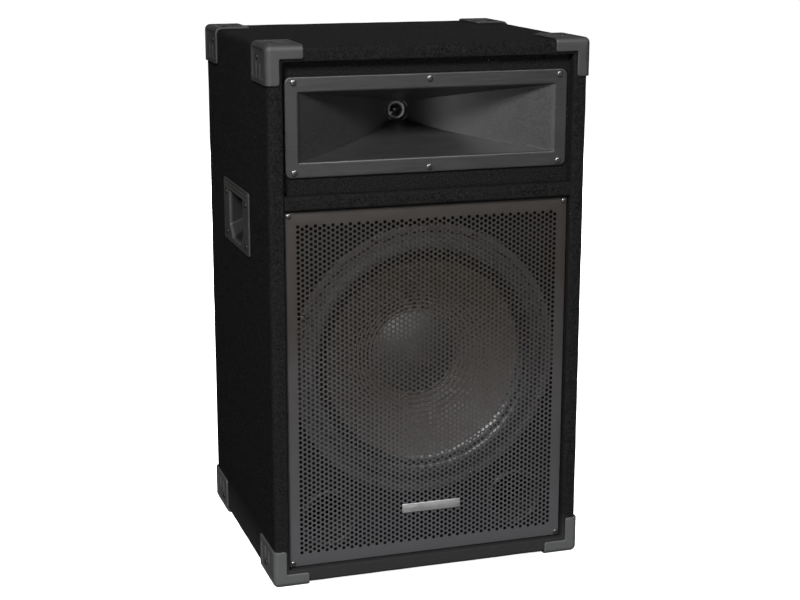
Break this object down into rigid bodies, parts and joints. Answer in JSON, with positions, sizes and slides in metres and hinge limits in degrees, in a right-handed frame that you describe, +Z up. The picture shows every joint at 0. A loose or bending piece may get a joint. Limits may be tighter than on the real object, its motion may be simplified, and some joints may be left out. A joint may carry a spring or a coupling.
{
  "type": "loudspeaker cabinet",
  "caption": "Upright carpeted loudspeaker cabinet with a perforated steel grille over a woofer, a wide horn above it, corner caps, side handles and a rear connector cup.",
  "frame": {"origin": "centre of the bounding box at its base: the floor under the middle of the cabinet", "axes": "+Z up, the grille and horn face -Y, +X is to the right seen from the front"},
  "size_m": [0.456, 0.39, 0.748],
  "materials": {
    "carpet": "needle-punched charcoal carpet",
    "board": "bare particle board",
    "painted_board": "black painted particle board",
    "cap_plastic": "moulded grey plastic, fine texture",
    "handle_plastic": "moulded dark grey plastic",
    "horn_plastic": "moulded dark grey plastic, satin",
    "port_plastic": "moulded black plastic",
    "grille_steel": "powder coated steel, bronze black",
    "frame_steel": "black painted pressed steel",
    "screw_steel": "blackened steel, worn bright",
    "plated_steel": "zinc plated steel",
    "ferrite": "sintered ferrite",
    "cone_paper": "pressed paper pulp",
    "cap_paper": "doped paper dome",
    "surround_rubber": "butyl rubber half roll",
    "gasket_card": "pressed card ring",
    "spider_cloth": "resin treated cotton",
    "aluminium": "thin aluminium",
    "badge_metal": "plain satin plate",
    "cup_plastic": "moulded black plastic",
    "lever_red": "red moulded plastic",
    "lever_black": "black moulded plastic",
    "black_plastic": "black moulded plastic",
    "circuit_board": "fibreglass board with parts",
    "wadding": "polyester wadding"
  },
  "bodies": {
    "cabinet": {"board_left": "board", "board_right": "board", "board_top": "board", "board_bottom": "board", "board_back": "board", "baffle_horn": "board", "baffle_woofer": "painted_board", "cross_rail": "board", "carpet_wrap": "carpet", "carpet_back": "carpet", "carpet_front_strip": "carpet", "cap_front_upper_left": "cap_plastic", "cap_front_upper_right": "cap_plastic", "cap_front_lower_left": "cap_plastic", "cap_front_lower_right": "cap_plastic", "cap_back_upper_left": "cap_plastic", "cap_back_upper_right": "cap_plastic", "cap_back_lower_left": "cap_plastic", "cap_back_lower_right": "cap_plastic", "handle_left": "handle_plastic", "handle_right": "handle_plastic", "horn_flare": "horn_plastic", "driver_pole": "plated_steel", "driver_magnet": "ferrite", "driver_top_plate": "plated_steel", "driver_phase_plug": "black_plastic", "driver_cover": "black_plastic", "horn_screw_upper_left": "screw_steel", "horn_screw_upper_middle": "screw_steel", "horn_screw_upper_right": "screw_steel", "horn_screw_lower_left": "screw_steel", "horn_screw_lower_middle": "screw_steel", "horn_screw_lower_right": "screw_steel", "grille_screw_upper_left": "screw_steel", "grille_screw_upper_right": "screw_steel", "grille_screw_lower_left": "screw_steel", "grille_screw_lower_right": "screw_steel", "grille": "grille_steel", "badge_plate": "badge_metal", "woofer_frame": "frame_steel", "woofer_gasket": "gasket_card", "woofer_surround": "surround_rubber", "woofer_spider": "spider_cloth", "woofer_top_plate": "plated_steel", "woofer_magnet": "ferrite", "woofer_yoke": "plated_steel", "port_left": "port_plastic", "port_right": "port_plastic", "connector_cup": "cup_plastic", "jack_input": "plated_steel", "jack_link": "plated_steel", "crossover_board": "circuit_board", "wadding": "wadding", "pole_socket": "cup_plastic"},
    "cone_assembly": {"woofer_cone": "cone_paper", "woofer_dust_cap": "cap_paper", "woofer_voice_coil": "aluminium"},
    "treble_diaphragm": {"driver_diaphragm": "aluminium"},
    "lever_red": {"push_lever_red": "lever_red"},
    "lever_black": {"push_lever_black": "lever_black"}
  },
  "joints": [
    {"name": "woofer_excursion", "type": "slide", "parent": "cabinet", "child": "cone_assembly", "axis": [0, -1, 0], "range_m": [-0.006, 0.006], "stiffness_N_per_m": 5700, "deforming": ["woofer_surround", "woofer_spider"]},
    {"name": "diaphragm_excursion", "type": "slide", "parent": "cabinet", "child": "treble_diaphragm", "axis": [0, -1, 0], "range_m": [-0.0003, 0.0003], "stiffness_N_per_m": 2000},
    {"name": "lever_red_press", "type": "hinge", "parent": "cabinet", "child": "lever_red", "pos_m": [0.016, 0.173, 0.219], "axis": [1, 0, 0], "range_deg": [0, 14], "stiffness_Nm_per_rad": 0.4},
    {"name": "lever_black_press", "type": "hinge", "parent": "cabinet", "child": "lever_black", "pos_m": [0.036, 0.173, 0.219], "axis": [1, 0, 0], "range_deg": [0, 14], "stiffness_Nm_per_rad": 0.4}
  ]
}
